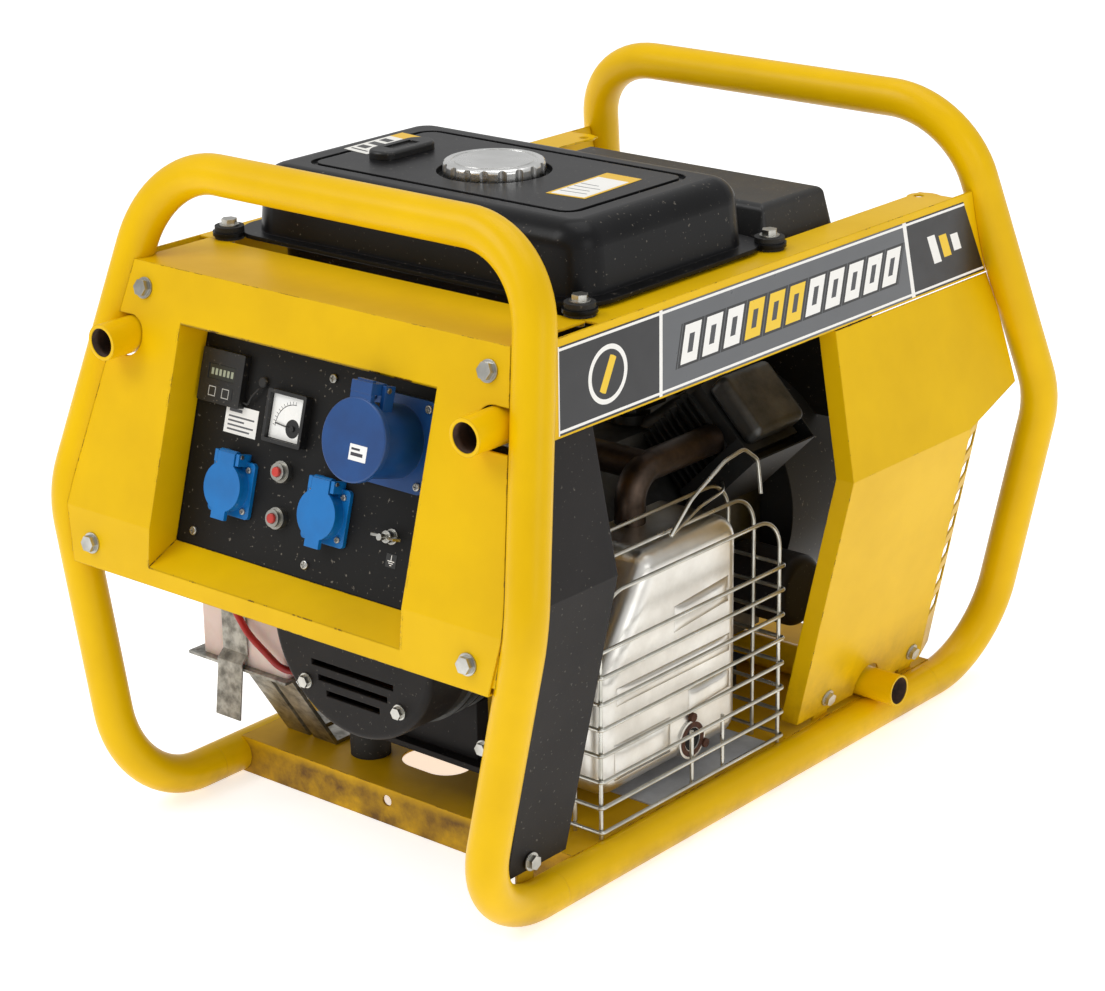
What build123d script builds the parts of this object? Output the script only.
from build123d import *
import math
import os

os.makedirs("parts", exist_ok=True)

# Portable generator. X is across (silencer side is +X), Y is along (control panel faces -Y),
# Z is up. The origin is on the ground under the middle of the frame. Millimetres.

# ---- tube frame -------------------------------------------------------------
TUBE_OD = 38.0
TUBE_WALL = 2.5
RAIL_X = 220.0            # base rail centre, each side
TOP_X = RAIL_X + 8.0      # corner of the top bars
KNEE_X = RAIL_X + 65.0    # widest point of the legs
TOP_Y = 319.0             # top bar centre, front and rear
KNEE_Y = TOP_Y + 88.0
FOOT_Y = TOP_Y + 91.0
TOP_BAR_Z = 628.0
KNEE_Z = 320.5
RAIL_Z = TUBE_OD / 2
TOP_BEND_R = 92.0
KNEE_BEND_R = 120.0
FOOT_BEND_R = 90.0
RAIL_JOINT_Y = FOOT_Y - 110.0
TUBE_GAP = 0.4            # sheet edge to tube

# ---- sheet metal --------------------------------------------------------------
SHEET = 2.0
DECK_Z = 545.0            # top of cowl plate and side flanges
FACE_OFF = 12.5           # cowl face in front of the leg centre plane
COWL_FOLD_S = -329.0      # knee fold, measured down the face from the top bar
COWL_LOW_Z = 262.0
COWL_LOW_PROUD = 5.6      # lower edge ahead of the fold
COWL_EDGE = 14.0          # sheet edge inside the leg centre line
COWL_TOP_DEPTH = 59.0     # top bar centre to the rear edge of the top plate
WINDOW_X = 157.0          # half width of the panel window
WINDOW_TOP_Z = 498.0
WINDOW_LOW_Z = 279.0
PANEL_OFF = -25.0         # front of the panel, measured like FACE_OFF
PANEL_TOP_S = -143.0
PANEL_LOW_S = -340.0
PANEL_T = 2.5
PANEL_LAP = 4.0           # how far the panel runs behind the window walls
BAND_X = TOP_X + 17.0     # outer face of the side band
BAND_LOW_Z = 457.0
BAND_FLANGE = 40.0
BAND_LIP = 12.0
BAND_REAR_Y = TOP_Y - 29.0
BASE_FRONT_Y = -(TOP_Y - 52.0)
BASE_REAR_Y = FOOT_Y - 92.0
BASE_Z = TUBE_OD
BASE_LIP = 15.0
AXLE_OD = 32.0
AXLE_BORE = 28.0
AXLE_Y = 199.0
AXLE_HALF = RAIL_X + 37.0
SOCKET_OD = 34.0
SOCKET_BORE = 27.0
SOCKET_Z = 478.0
SOCKET_X = RAIL_X + 2.0
SOCKET_FRONT_Y = -(TOP_Y + 89.0)
SOCKET_LEN = 68.0
NOTCH_GAP = 1.5
REAR_COVER_LOW_Z = BASE_Z + 7.0
REAR_COVER_RETURN = 20.0
SHIELD_FLANGE = 42.0
SHIELD_FRONT_Y = -(TOP_Y + 36.0)

# ---- fuel tank ------------------------------------------------------------------
TANK_LEN = 252.0
TANK_FRONT_Y = -(TOP_Y - 83.0)
TANK_TOP_Z = 615.0
TANK_WALL = 4.0
TANK_FLANGE_T = 4.0
TANK_LOWER_H = 42.0
EAR_X = BAND_X - 31.0     # tank bolts
EAR_FRONT_Y = TANK_FRONT_Y - 12.0
EAR_REAR_Y = TANK_FRONT_Y + TANK_LEN + 10.0
GROMMET_UNDER = 3.0
GROMMET_R = 14.0
CAP_R = 48.0
CAP_H = 15.0
CAP_Y = -112.0
NECK_R = 30.0
GAUGE_X = -116.0

# ---- alternator and engine, along the crank axis ----------------------------------
CRANK_Z = 218.0
ALT_FRONT_Y = -325.0
ALT_R = 102.0
END_COVER_LEN = 52.0
STATOR_LEN = 165.0
ADAPTER_LEN = 80.0
ENGINE_FRONT_Y = ALT_FRONT_Y + END_COVER_LEN + STATOR_LEN + ADAPTER_LEN
CASE_LEN = 212.0
CASE_X = 92.0
CASE_LOW_Z = 92.0
CASE_TOP_Z = 300.0
ENGINE_REAR_Y = ENGINE_FRONT_Y + CASE_LEN
SHAFT_R = 17.0
RUN_GAP = 0.05            # radial running clearance
AIR_GAP = 1.0             # rotor to stator
ROTOR_R = ALT_R - 40.0
FLYWHEEL_R = 112.0
FLYWHEEL_LEN = 55.0
BLOWER_R = 130.0
BLOWER_LEN = 95.0
MOUNT_R = 20.0
MOUNT_H = 30.0
ALT_MOUNT_Y = -215.0
ENGINE_MOUNT_Y = 120.0
MOUNT_X = 86.0
CYL_ANGLE = 45.0
CYL_START = 92.0
CYL_END = 150.0
HEAD_LEN = 42.0
ROCKER_LEN = 26.0
CYL_HALF = 46.0
CYL_Y = {"left": 72.0, "right": 104.0}

# ---- silencer --------------------------------------------------------------------
SIL_X = (RAIL_X - 110.5, RAIL_X - 25.0)
SIL_Y = (-200.0, 14.0)
SIL_Z = (BASE_Z + 20.0, BASE_Z + 246.0)
GUARD_WIRE = 4.0
GUARD_X = RAIL_X - 7.0
GUARD_Y = (-224.0, 50.0)

# ---- battery ------------------------------------------------------------------------
BATT_X = (-(RAIL_X + 7.0), -(RAIL_X - 110.0))
BATT_Y = (-(TOP_Y - 19.0), -(TOP_Y - 109.0))
BATT_Z = (BASE_Z + 99.0, BASE_Z + 244.0)
STRAP_X = (-(RAIL_X - 25.0), -(RAIL_X - 58.0))

# ---- derived helpers -------------------------------------------------------------------
TUBE_R = TUBE_OD / 2
THETA = math.atan2(KNEE_Y - TOP_Y, TOP_BAR_Z - KNEE_Z)
NORMAL = Vector(0, -math.cos(THETA), math.sin(THETA))
UP = Vector(0, math.sin(THETA), math.cos(THETA))
LEG_TOP = Vector(0, -TOP_Y, TOP_BAR_Z)


def leg_x(z):
    """Distance of the leg centre line from the middle plane at height z."""
    if z >= KNEE_Z:
        return KNEE_X + (TOP_X - KNEE_X) * (z - KNEE_Z) / (TOP_BAR_Z - KNEE_Z)
    return KNEE_X + (RAIL_X - KNEE_X) * (KNEE_Z - z) / (KNEE_Z - RAIL_Z)


def on_face(s, off):
    """(y, z) of a point s up the slope of the front legs and off ahead of them."""
    p = LEG_TOP + UP * s + NORMAL * off
    return (p.Y, p.Z)


def face_y(z, off):
    """y of the sloping front face at height z."""
    s = (z - TOP_BAR_Z - off * math.sin(THETA)) / math.cos(THETA)
    return on_face(s, off)[0]


PANEL_MID_S = (PANEL_TOP_S + PANEL_LOW_S) / 2
PANEL_ORIGIN = LEG_TOP + UP * PANEL_MID_S + NORMAL * PANEL_OFF
PANEL = Plane(origin=PANEL_ORIGIN, x_dir=(1, 0, 0), z_dir=NORMAL)
FACE_ORIGIN = LEG_TOP + NORMAL * FACE_OFF
FACE = Plane(origin=FACE_ORIGIN, x_dir=(1, 0, 0), z_dir=NORMAL)


def on_panel(x, s, out=0.0):
    """Placement on the panel: x across, s down from the top bar, out from its front."""
    return PANEL.location * Pos(x, s - PANEL_MID_S, out)


def box(x, y, z):
    """Box between two corners, given as three (low, high) pairs."""
    size = Box(x[1] - x[0], y[1] - y[0], z[1] - z[0], align=(Align.MIN, Align.MIN, Align.MIN))
    return Pos(x[0], y[0], z[0]) * size


def rod(radius, start, end):
    """Cylinder between two points."""
    a = Vector(*start)
    axis = Vector(*end) - a
    cylinder = Cylinder(radius, axis.length, align=(Align.CENTER, Align.CENTER, Align.MIN))
    return Plane(origin=a, z_dir=axis.normalized()).location * cylinder


def prism(plane, points, low, high):
    """Polygon on a plane through the origin, extruded from low to high along its normal."""
    face = make_face(Polyline(*points, close=True))
    return plane.offset(low).location * extrude(face, high - low)


def side_prism(points, low, high):
    """Polygon of (y, z) points, extruded along X."""
    return prism(Plane.YZ, points, low, high)


def front_prism(points, low, high):
    """Polygon of (x, z) points, extruded along Y from low to high."""
    return prism(Plane((0, 0, 0), x_dir=(-1, 0, 0), z_dir=(0, 1, 0)), [(-x, z) for x, z in points],
                 low, high)


def strip(points, thickness):
    """Outline of a folded sheet: a polyline and its mitred offset to the left."""
    inner = []
    for i, point in enumerate(points):
        before = points[max(i - 1, 0)]
        here = point
        after = points[min(i + 1, len(points) - 1)]
        if i == 0:
            before, here, after = points[0], points[0], points[1]
        first = _left(before, here) if before != here else _left(here, after)
        second = _left(here, after) if after != here else first
        scale = thickness / (1 + first[0] * second[0] + first[1] * second[1])
        inner.append((point[0] + (first[0] + second[0]) * scale, point[1] + (first[1] + second[1]) * scale))
    return list(points) + inner[::-1]


def _left(a, b):
    """Unit vector to the left of the direction from a to b."""
    length = math.hypot(b[0] - a[0], b[1] - a[1])
    return (-(b[1] - a[1]) / length, (b[0] - a[0]) / length)


def bent_rod(points, radii, radius):
    """Round bar along straight runs joined by tangent arcs."""
    if len(points) > 2:
        path = FilletPolyline(*points, radius=radii)
    else:
        path = Line(*points)
    start = Plane(origin=path @ 0, z_dir=path % 0)
    return sweep(start * Circle(radius), path=path)


def bolt(head_r, head_h, shank_r, grip):
    """Hexagon bolt with a washer. The washer seats on z = 0 and the shank runs down."""
    washer = Pos(0, 0, 0.8) * Cylinder(head_r * 1.25, 1.6)
    head = Pos(0, 0, 1.6) * extrude(RegularPolygon(head_r, 6), head_h)
    shank = Pos(0, 0, -grip / 2) * Cylinder(shank_r, grip)
    return washer + head + shank


def mirrored(shape):
    """Copy on the other side of the middle plane."""
    return mirror(shape, about=Plane.YZ)


def keep(name, *shapes):
    """Write one node: a solid, or a group of separate solids."""
    solids = []
    for shape in shapes:
        solids += list(shape.solids())
    whole = solids[0] if len(solids) == 1 else Compound(children=solids)
    export_step(whole, f"parts/{name}.step")
    print(name, len(solids), "solids", round(sum(s.volume for s in solids) / 1000, 1), "cm3")


# ---- tube frame -------------------------------------------------------------------------
def hoop_path(sign):
    """Centre line of one end hoop, from one rail joint over the top to the other."""
    half = [
        (RAIL_X, sign * RAIL_JOINT_Y, RAIL_Z),
        (RAIL_X, sign * FOOT_Y, RAIL_Z),
        (KNEE_X, sign * KNEE_Y, KNEE_Z),
        (TOP_X, sign * TOP_Y, TOP_BAR_Z),
    ]
    return [(-x, y, z) for x, y, z in half] + half[::-1]


def hoop_bar(sign, radius):
    """Solid bar along the hoop's centre line."""
    bends = [FOOT_BEND_R, KNEE_BEND_R, TOP_BEND_R]
    return bent_rod(hoop_path(sign), bends + bends[::-1], radius)


def hoop(sign):
    return hoop_bar(sign, TUBE_R) - hoop_bar(sign, TUBE_R - TUBE_WALL)


def rail(x):
    ends = ((x, -RAIL_JOINT_Y, RAIL_Z), (x, RAIL_JOINT_Y, RAIL_Z))
    return rod(TUBE_R, *ends) - rod(TUBE_R - TUBE_WALL, *ends)


FRONT_CLEAR = hoop_bar(-1, TUBE_R + TUBE_GAP)
REAR_CLEAR = hoop_bar(1, TUBE_R + TUBE_GAP)
FRONT_BAR = hoop_bar(-1, TUBE_R)


def handle_socket():
    """Short open tube for a lifting handle, welded to the inside of the right front leg."""
    ends = ((SOCKET_X, SOCKET_FRONT_Y, SOCKET_Z), (SOCKET_X, SOCKET_FRONT_Y + SOCKET_LEN, SOCKET_Z))
    return rod(SOCKET_OD / 2, *ends) - FRONT_BAR - rod(SOCKET_BORE / 2, *ends)


def axle_tube():
    ends = ((-AXLE_HALF, AXLE_Y, BASE_Z + AXLE_OD / 2), (AXLE_HALF, AXLE_Y, BASE_Z + AXLE_OD / 2))
    return rod(AXLE_OD / 2, *ends) - rod(AXLE_BORE / 2, *ends)


def base_plate():
    """Channel across the rails, with lips that stand on the ground and a drain hole."""
    outline = [
        (BASE_FRONT_Y + BASE_LIP, 0),
        (BASE_FRONT_Y, 0),
        (BASE_FRONT_Y, BASE_Z),
        (BASE_REAR_Y, BASE_Z),
        (BASE_REAR_Y, 0),
        (BASE_REAR_Y - BASE_LIP, 0),
    ]
    half = RAIL_X - 6.0
    plate = side_prism(strip(outline[::-1], SHEET), -half, half)
    for x in (-RAIL_X, RAIL_X):
        plate -= rod(TUBE_R, (x, BASE_FRONT_Y - 5, RAIL_Z), (x, BASE_REAR_Y + 5, RAIL_Z))
    plate -= Pos(-20, BASE_FRONT_Y + 76, BASE_Z) * extrude(SlotOverall(76, 50), 10, both=True)
    plate -= rod(5.5, (-16.6, BASE_FRONT_Y - 5, 25), (-16.6, BASE_FRONT_Y + 10, 25))
    for x in (-MOUNT_X, MOUNT_X):
        for y in (ALT_MOUNT_Y, ENGINE_MOUNT_Y):
            plate -= Pos(x, y, BASE_Z) * Cylinder(4.2, 10)
    return plate


# ---- cowl and panel --------------------------------------------------------------------------
COWL_FOLD = on_face(COWL_FOLD_S, FACE_OFF)
COWL_TOP_Y = face_y(DECK_Z, FACE_OFF)
COWL_LOW_Y = COWL_FOLD[0] - COWL_LOW_PROUD
COWL_BOLTS = {"upper": 18.0, "lower": 33.0}   # bolt centre inside the sheet edge
UPPER_BOLT_Z = 522.0
LOWER_BOLT_Z = 285.0


def face_seat(x, z):
    """Seat on the sloping cowl face."""
    s = (z - TOP_BAR_Z - FACE_OFF * math.sin(THETA)) / math.cos(THETA)
    return FACE.location * Pos(x, s, 0)


def low_seat(x, z):
    """Seat on the cowl face below the fold."""
    run = (COWL_FOLD[1] - z) / (COWL_FOLD[1] - COWL_LOW_Z)
    y = COWL_FOLD[0] - COWL_LOW_PROUD * run
    tilt = math.atan2(COWL_LOW_PROUD, COWL_FOLD[1] - COWL_LOW_Z)
    normal = (0, -math.cos(tilt), math.sin(tilt))
    return Plane(origin=(x, y, z), x_dir=(1, 0, 0), z_dir=normal).location


def cowl_seats():
    upper_x = leg_x(UPPER_BOLT_Z) - COWL_EDGE - COWL_BOLTS["upper"] - 6.0
    lower_x = leg_x(LOWER_BOLT_Z) - COWL_EDGE - COWL_BOLTS["lower"] + 4.0
    seats = []
    for side in (-1, 1):
        seats.append(face_seat(side * upper_x, UPPER_BOLT_Z))
        seats.append(low_seat(side * lower_x, LOWER_BOLT_Z))
    return seats


def cowl():
    """Folded front sheet with a window, and the four walls that line the window."""
    outline = [
        (-(TOP_Y - COWL_TOP_DEPTH), DECK_Z),
        (COWL_TOP_Y, DECK_Z),
        COWL_FOLD,
        (COWL_LOW_Y, COWL_LOW_Z),
        (COWL_LOW_Y + 14.0, COWL_LOW_Z),
    ]
    width = KNEE_X
    sheet = side_prism(strip(outline, SHEET), -width, width)
    edge = [(leg_x(z) - COWL_EDGE, z) for z in (DECK_Z + 1, KNEE_Z, COWL_LOW_Z - 1)]
    front = edge + [(-x, z) for x, z in edge[::-1]]
    sheet &= front_prism(front, -KNEE_Y - 60, -TOP_Y + COWL_TOP_DEPTH + 1)
    window = box((-WINDOW_X, WINDOW_X), (-KNEE_Y - 60, -TOP_Y), (WINDOW_LOW_Z, WINDOW_TOP_Z))
    sheet -= window
    walls = window_walls()
    for wall in walls:
        sheet -= wall
    sheet -= FRONT_CLEAR
    for side in (-1, 1):
        x = side * SOCKET_X
        notch_r = SOCKET_OD / 2 + NOTCH_GAP
        sheet -= rod(notch_r, (x, -KNEE_Y - 60, SOCKET_Z), (x, -TOP_Y, SOCKET_Z))
        outer = sorted((x, x + side * 40))
        sheet -= box(outer, (-KNEE_Y - 60, -TOP_Y - 20), (SOCKET_Z - notch_r, SOCKET_Z + notch_r))
    for seat in cowl_seats():
        sheet -= seat * Cylinder(4.3, 20)
    return [sheet] + walls


def window_walls():
    """Two side walls, a ledge below and a return above, back to the panel."""
    back_off = PANEL_OFF + 1.3
    ledge_back = on_face(PANEL_LOW_S + 1.0, back_off)
    top_back = on_face(PANEL_TOP_S, back_off)
    top_front = (face_y(WINDOW_TOP_Z, FACE_OFF), WINDOW_TOP_Z)
    run = (COWL_FOLD[1] - WINDOW_LOW_Z) / (COWL_FOLD[1] - COWL_LOW_Z)
    low_front = (COWL_FOLD[0] - COWL_LOW_PROUD * run, WINDOW_LOW_Z)
    wall = side_prism([top_front, COWL_FOLD, low_front, ledge_back, top_back], 0, SHEET)
    ledge = side_prism(strip([ledge_back, low_front], SHEET), -WINDOW_X, WINDOW_X)
    roof = side_prism(strip([top_front, top_back], SHEET), -WINDOW_X, WINDOW_X)
    return [Pos(WINDOW_X, 0, 0) * wall, Pos(-WINDOW_X - SHEET, 0, 0) * wall, ledge, roof]


def cowl_tabs():
    """Four plates welded behind the cowl to the legs, one for each cowl bolt."""
    tabs = []
    seats = cowl_seats()
    for index, z in ((0, UPPER_BOLT_Z), (1, LOWER_BOLT_Z), (2, UPPER_BOLT_Z), (3, LOWER_BOLT_Z)):
        side = -1 if index < 2 else 1
        seat_x = seats[index].position.X
        reach = abs(leg_x(z) - abs(seat_x))
        plate = Pos(side * reach / 2 - side * 6, 0, -SHEET - 1.6) * Box(reach + 12, 30, 3)
        tab = seats[index] * plate
        tab -= seats[index] * Cylinder(4.3, 40)
        tabs.append(tab - FRONT_BAR)
    return tabs


def cowl_bolts():
    return [seat * bolt(8.0, 5.5, 4.0, 12.0) for seat in cowl_seats()]


PANEL_HALF_V = (PANEL_TOP_S - PANEL_LOW_S) / 2
PANEL_HALF_X = WINDOW_X + PANEL_LAP
SCREW_S = (PANEL_TOP_S - 14.0, PANEL_LOW_S + 14.0)
SCREW_X = (6.0, 146.0)
CORNER_SCREW = (-137.0, PANEL_LOW_S + 14.0)
PANEL_SCREWS = [(x, s) for x in SCREW_X for s in SCREW_S] + [CORNER_SCREW]
OUTLETS = {"a": (-95.0, -276.0), "b": (24.0, -276.0)}
OUTLET_SIZE = 52.0
OUTLET_SCREW = 19.0
OUTLET_WELL_R = 19.5
OUTLET_BODY_R = 23.0
OUTLET_FACE = 12.0        # rim of the outlet in front of the panel
LID_T = 4.0
LID_R = 23.0
LID_GAP = 0.5
HINGE_R = 2.0
KNUCKLE_R = 4.2
HINGE_UP = 30.0           # hinge above the outlet centre
CEE_AT = (93.0, -196.0)
CEE_FLANGE = (80.0, 82.0)
CEE_BODY_R = 33.0
CEE_WELL_R = 27.0
CEE_FACE = 54.0
CEE_LID_R = 37.0
CEE_LID_T = 6.0
CEE_HINGE_UP = 46.0
CEE_HINGE_OUT = 44.0
CEE_PIN_R = 2.5
BREAKERS = {"upper": (-36.0, -250.0), "lower": (-33.5, -292.0)}
BREAKER_R = 10.0
BUTTON_R = 4.5
BUTTON_GAP = 0.3
METER_AT = (-39.0, -202.0)
METER_SIZE = 48.0
METER_OUT = 9.0
HOURS_AT = (-125.0, -180.5)
HOURS_SIZE = (54.0, 49.0)
HOURS_OUT = 8.0
STUD_AT = (102.0, -279.0)
STUD_R = 3.0
SENSOR_AT = (-77.0, -176.0)


def control_panel():
    """Flat black plate with the openings that its instruments and outlets sit in."""
    plate = on_panel(0, PANEL_MID_S, -PANEL_T / 2) * Box(2 * PANEL_HALF_X, 2 * PANEL_HALF_V, PANEL_T)
    for x, s in PANEL_SCREWS:
        plate -= on_panel(x, s) * Cylinder(2.3, 20)
    for x, s in OUTLETS.values():
        plate -= on_panel(x, s) * Cylinder(OUTLET_BODY_R + 0.5, 20)
        for dx in (-OUTLET_SCREW, OUTLET_SCREW):
            for ds in (-OUTLET_SCREW, OUTLET_SCREW):
                plate -= on_panel(x + dx, s + ds) * Cylinder(1.8, 20)
    plate -= on_panel(*CEE_AT) * Cylinder(CEE_BODY_R + 0.5, 20)
    for dx in (-1, 1):
        for ds in (-1, 1):
            plate -= on_panel(CEE_AT[0] + dx * 33, CEE_AT[1] + ds * 34) * Cylinder(2.2, 20)
    for x, s in BREAKERS.values():
        plate -= on_panel(x, s) * Cylinder(7.3, 20)
    plate -= on_panel(*METER_AT) * Cylinder(20.5, 20)
    plate -= on_panel(*HOURS_AT) * Box(HOURS_SIZE[0] - 10, HOURS_SIZE[1] - 10, 20)
    plate -= on_panel(*STUD_AT) * Cylinder(STUD_R + 0.2, 20)
    plate -= on_panel(*SENSOR_AT) * Cylinder(2.7, 20)
    return plate


def screw(place, head_r, head_h, shank_r, grip):
    """Pan-head screw with a cross slot, seated on a placement's z = 0."""
    head = Pos(0, 0, head_h / 2) * Cylinder(head_r, head_h)
    head = fillet(head.edges().group_by(Axis.Z)[-1], head_h * 0.45)
    for size in ((head_r * 1.3, head_r * 0.3), (head_r * 0.3, head_r * 1.3)):
        head -= Pos(0, 0, head_h) * Box(size[0], size[1], head_h)
    return place * (head + Pos(0, 0, -grip / 2) * Cylinder(shank_r, grip))


def panel_screws():
    return [screw(on_panel(x, s), 4.2, 2.6, 2.1, 8.0) for x, s in PANEL_SCREWS]


def outlet(x, s):
    """Household outlet: square flange, round rim, deep well with two pin holes, and hinge ears."""
    half = OUTLET_SIZE / 2
    flange = Pos(0, 0, 2.0) * Box(2 * half, 2 * half, 4.0)
    flange = fillet(flange.edges().filter_by(Axis.Z), 4.0)
    rim = Pos(0, 0, OUTLET_FACE / 2) * Cylinder(OUTLET_BODY_R - 1.0, OUTLET_FACE)
    back = Pos(0, 0, -15.0) * Cylinder(OUTLET_BODY_R, 30.0)
    body = flange + rim + back
    for side in (-1, 1):
        ear_top = OUTLET_FACE + HINGE_R + 1.5
        ear = Pos(side * 13.5, HINGE_UP - 3.0, ear_top / 2) * Box(4.0, 11.0, ear_top)
        body += ear
        body += Pos(side * 13.5, half - 2.0, 2.0) * Box(4.0, 8.0, 4.0)
    body -= Pos(0, 0, OUTLET_FACE - 8.75) * Cylinder(OUTLET_WELL_R, 17.5)
    for side in (-1, 1):
        body -= Pos(side * 9.5, 0, -12.0) * Cylinder(2.5, 20.0)
        for row in (-1, 1):
            body -= Pos(side * OUTLET_SCREW, row * OUTLET_SCREW, 0) * Cylinder(1.8, 12.0)
    body -= Pos(0, HINGE_UP, OUTLET_FACE) * Rot(0, 90, 0) * Cylinder(HINGE_R, 60)
    return on_panel(x, s) * body


def outlet_lid(x, s):
    """Round flap with a finger tab below and a knuckle above that turns on the hinge pin."""
    z = OUTLET_FACE + LID_GAP
    flap = Pos(0, 0, z + LID_T / 2) * Cylinder(LID_R, LID_T)
    tab = Pos(0, -LID_R - 1.0, z + LID_T / 2) * Box(17.0, 12.0, LID_T)
    neck = Pos(0, (LID_R + HINGE_UP) / 2 - 2.0, z + LID_T / 2) * Box(21.0, HINGE_UP - LID_R + 8.0, LID_T)
    knuckle = Pos(0, HINGE_UP, OUTLET_FACE) * Rot(0, 90, 0) * Cylinder(KNUCKLE_R, 21.0)
    lid = flap + tab + neck + knuckle
    lid -= Pos(0, HINGE_UP, OUTLET_FACE) * Rot(0, 90, 0) * Cylinder(HINGE_R + RUN_GAP, 60)
    return on_panel(x, s) * lid


def outlet_pin(x, s):
    """Hinge pin, held in the outlet's two ears."""
    return on_panel(x, s) * Pos(0, HINGE_UP, OUTLET_FACE) * Rot(0, 90, 0) * Cylinder(HINGE_R, 33.0)


def outlet_screws():
    screws = []
    for x, s in OUTLETS.values():
        for dx in (-OUTLET_SCREW, OUTLET_SCREW):
            for ds in (-OUTLET_SCREW, OUTLET_SCREW):
                screws.append(screw(on_panel(x + dx, s + ds, 4.0), 3.0, 2.0, 1.6, 9.0))
    return screws


def cee_outlet():
    """Industrial outlet: rectangular flange, long round body, deep well with three sleeves."""
    flange = Pos(0, 0, 3.0) * Box(CEE_FLANGE[0], CEE_FLANGE[1], 6.0)
    flange = fillet(flange.edges().filter_by(Axis.Z), 7.0)
    body = flange + Pos(0, 0, CEE_FACE / 2) * Cylinder(CEE_BODY_R, CEE_FACE)
    body += Pos(0, 0, -14.0) * Cylinder(CEE_BODY_R, 28.0)
    for side in (-1, 1):
        ear_at = Pos(side * 15.0, CEE_HINGE_UP / 2 + 12.0, CEE_HINGE_OUT - 2.0)
        ear = ear_at * Box(4.5, CEE_HINGE_UP - 16.0, 12.0)
        body += ear
    body -= Pos(0, 0, CEE_FACE - 25.0) * Cylinder(CEE_WELL_R, 50.0)
    for angle in (90, 210, 330):
        x = 16.0 * math.cos(math.radians(angle))
        y = 16.0 * math.sin(math.radians(angle))
        sleeve = Pos(x, y, 20.0) * (Cylinder(5.0, 34.0) - Cylinder(3.0, 40.0))
        body += sleeve
    for dx in (-1, 1):
        for ds in (-1, 1):
            body -= Pos(dx * 33, ds * 34, 0) * Cylinder(2.2, 20)
    body -= Pos(0, CEE_HINGE_UP, CEE_HINGE_OUT) * Rot(0, 90, 0) * Cylinder(CEE_PIN_R, 80)
    return on_panel(*CEE_AT) * body


def cee_lid():
    """Round sprung lid with an arm up to the hinge pin and a thumb tab."""
    z = CEE_FACE + LID_GAP
    lid = Pos(0, 0, z + CEE_LID_T / 2) * Cylinder(CEE_LID_R, CEE_LID_T)
    lid = fillet(lid.edges().group_by(Axis.Z)[-1], 1.5)
    arm = Pos(0, 36.0, z + CEE_LID_T / 2 - 0.5) * Box(24.0, 22.0, CEE_LID_T - 1.0)
    drop_h = z + CEE_LID_T - CEE_HINGE_OUT - 1.0
    drop = Pos(0, CEE_HINGE_UP, (CEE_HINGE_OUT + z + CEE_LID_T) / 2) * Box(24.0, 10.0, drop_h)
    knuckle = Pos(0, CEE_HINGE_UP, CEE_HINGE_OUT) * Rot(0, 90, 0) * Cylinder(5.5, 24.0)
    tab = Pos(0, CEE_HINGE_UP + 4.0, z) * Box(18.0, 6.0, 4.0)
    whole = lid + arm + drop + knuckle + tab
    whole -= Pos(0, CEE_HINGE_UP, CEE_HINGE_OUT) * Rot(0, 90, 0) * Cylinder(CEE_PIN_R + RUN_GAP, 80)
    return on_panel(*CEE_AT) * whole


def cee_pin():
    place = on_panel(*CEE_AT) * Pos(0, CEE_HINGE_UP, CEE_HINGE_OUT)
    return place * Rot(0, 90, 0) * Cylinder(CEE_PIN_R, 37.0)


def cee_screws():
    return [
        screw(on_panel(CEE_AT[0] + dx * 33, CEE_AT[1] + ds * 34, 6.0), 3.8, 2.4, 2.0, 12.0)
        for dx in (-1, 1)
        for ds in (-1, 1)
    ]


def breaker_bodies():
    """Two threaded breaker housings with a collar, each open for its push button."""
    bodies = []
    for x, s in BREAKERS.values():
        body = Pos(0, 0, 3.0) * Cylinder(BREAKER_R, 6.0)
        body += Pos(0, 0, 8.0) * Cylinder(BREAKER_R - 2.0, 5.0)
        body += Pos(0, 0, -12.0) * Cylinder(7.0, 24.0)
        body += Pos(0, 0, -30.0) * Box(16.0, 28.0, 20.0)
        body -= Pos(0, 0, 2.0) * Cylinder(BUTTON_R + BUTTON_GAP, 24.0)
        bodies.append(on_panel(x, s) * body)
    return bodies


def breaker_button(x, s):
    button = Pos(0, 0, 5.0) * Cylinder(BUTTON_R, 16.0)
    button = fillet(button.edges().group_by(Axis.Z)[-1], 1.0)
    return on_panel(x, s) * button


def meter_case():
    """Square meter bezel with a round back and a shallow face well."""
    case = Pos(0, 0, METER_OUT / 2) * Box(METER_SIZE, METER_SIZE, METER_OUT)
    case = fillet(case.edges().filter_by(Axis.Z), 2.0)
    case += Pos(0, 0, -12.0) * Cylinder(20.0, 24.0)
    case -= Pos(0, 0, METER_OUT - 2.5) * Box(METER_SIZE - 7.0, METER_SIZE - 7.0, 5.0)
    case -= needle_pivot() * Cylinder(1.2, 8.0)
    return on_panel(*METER_AT) * case


def needle_pivot():
    return Pos(8.0, -8.0, METER_OUT - 5.0)


def meter_needle():
    """Pointer on its pivot pin, resting on the left end of its scale."""
    hub = Pos(0, 0, 1.2) * Cylinder(2.6, 1.2)
    pin = Cylinder(1.2 - RUN_GAP, 4.0)
    arm = Pos(-10.5, 1.0, 1.2) * Rot(0, 0, -6) * Box(21.0, 0.9, 0.8)
    return on_panel(*METER_AT) * needle_pivot() * (hub + pin + arm)


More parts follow.
